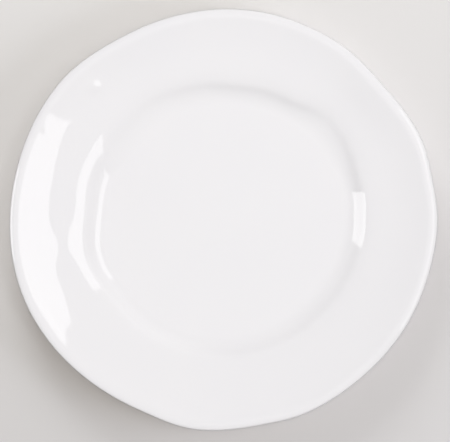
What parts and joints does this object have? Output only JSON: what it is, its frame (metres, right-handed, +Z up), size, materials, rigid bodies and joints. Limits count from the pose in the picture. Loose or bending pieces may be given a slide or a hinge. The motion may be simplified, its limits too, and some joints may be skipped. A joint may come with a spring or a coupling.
{
  "type": "dinner plate",
  "caption": "Round dinner plate of glazed white porcelain with a shallow well, a flared rim, a soft rolled lip, a slightly irregular edge and a foot ring underneath.",
  "frame": {"origin": "middle of the plate's outline, on the plane that the foot ring stands on", "axes": "+Z up, out of the well; +X to the right and +Y to the top of the picture, which looks straight down"},
  "size_m": [0.2731, 0.2691, 0.0223],
  "materials": {
    "glazed_porcelain": "gloss"
  },
  "bodies": {
    "root": {"plate": "glazed_porcelain"}
  },
  "joints": []
}
